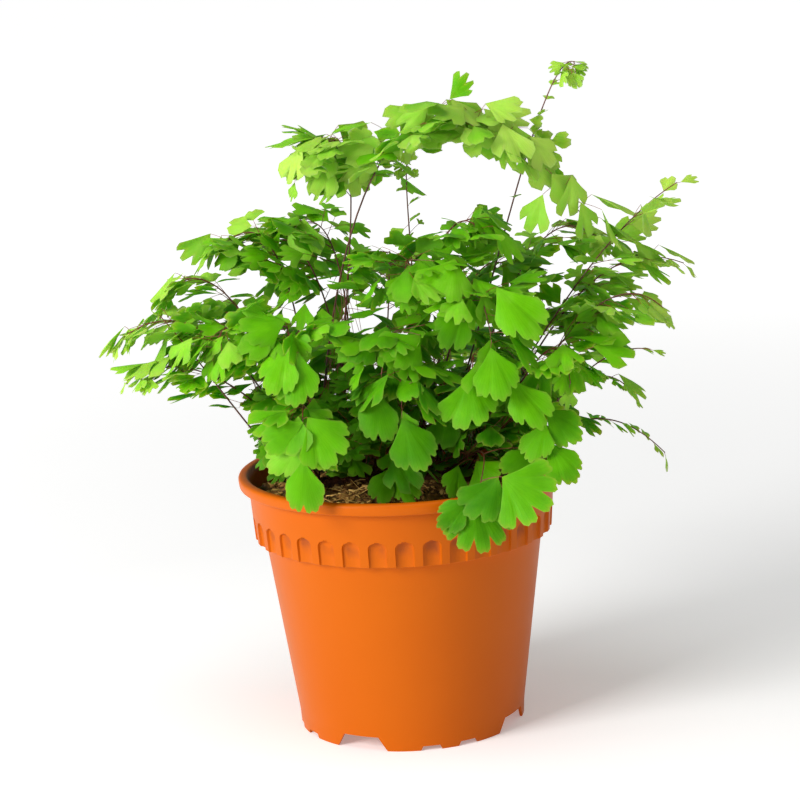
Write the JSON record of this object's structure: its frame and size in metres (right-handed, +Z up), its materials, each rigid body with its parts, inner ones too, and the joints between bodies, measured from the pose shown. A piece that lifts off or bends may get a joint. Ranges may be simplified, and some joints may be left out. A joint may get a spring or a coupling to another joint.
{
  "type": "potted fern",
  "caption": "Maidenhair fern with arching wiry fronds of fan-shaped leaflets, in a round moulded pot with a fluted band.",
  "frame": {"origin": "under the middle of the whole plant's outline seen from above, on the surface that the pot stands on", "axes": "+Z up, along the height; -Y is the front that the picture shows, so +X is to the viewer's right"},
  "size_m": [0.303, 0.2126, 0.3407],
  "materials": {
    "pot_plastic": "satin moulded plastic, orange right through",
    "potting_mix": "rough, dark bark and coir crumbs",
    "dark_stem": "dark brown, slightly glossy",
    "leaf_green": "thin soft leaf, satin"
  },
  "bodies": {
    "root": {"pot": "pot_plastic", "potting_mix": "potting_mix", "rhizome": "dark_stem", "frond_back_high_1": "leaf_green", "frond_back_high_2": "leaf_green", "frond_back_high_3": "leaf_green", "frond_back_low_1": "leaf_green", "frond_back_low_2": "leaf_green", "frond_back_low_3": "leaf_green", "frond_back_low_4": "leaf_green", "frond_center_front": "leaf_green", "frond_center_high": "leaf_green", "frond_center_left": "leaf_green", "frond_center_low": "leaf_green", "frond_center_tall": "leaf_green", "frond_front_left": "leaf_green", "frond_front_right": "leaf_green", "frond_inner_young": "leaf_green", "frond_left_far": "leaf_green", "frond_left_far_low": "leaf_green", "frond_left_front": "leaf_green", "frond_left_high": "leaf_green", "frond_left_mid": "leaf_green", "frond_left_up": "leaf_green", "frond_left_wire": "leaf_green", "frond_right_far": "leaf_green", "frond_right_front": "leaf_green", "frond_right_low": "leaf_green", "frond_right_mid": "leaf_green", "frond_right_spray": "leaf_green", "frond_right_up": "leaf_green", "frond_right_wire": "leaf_green", "frond_rim_right": "leaf_green", "frond_rim_small": "leaf_green", "frond_soil_small": "leaf_green", "frond_tall_young": "leaf_green", "frond_top_arch": "leaf_green", "frond_top_left": "leaf_green", "frond_upper_left": "leaf_green", "frond_upper_mid": "leaf_green", "frond_upper_right": "leaf_green"}
  },
  "joints": []
}
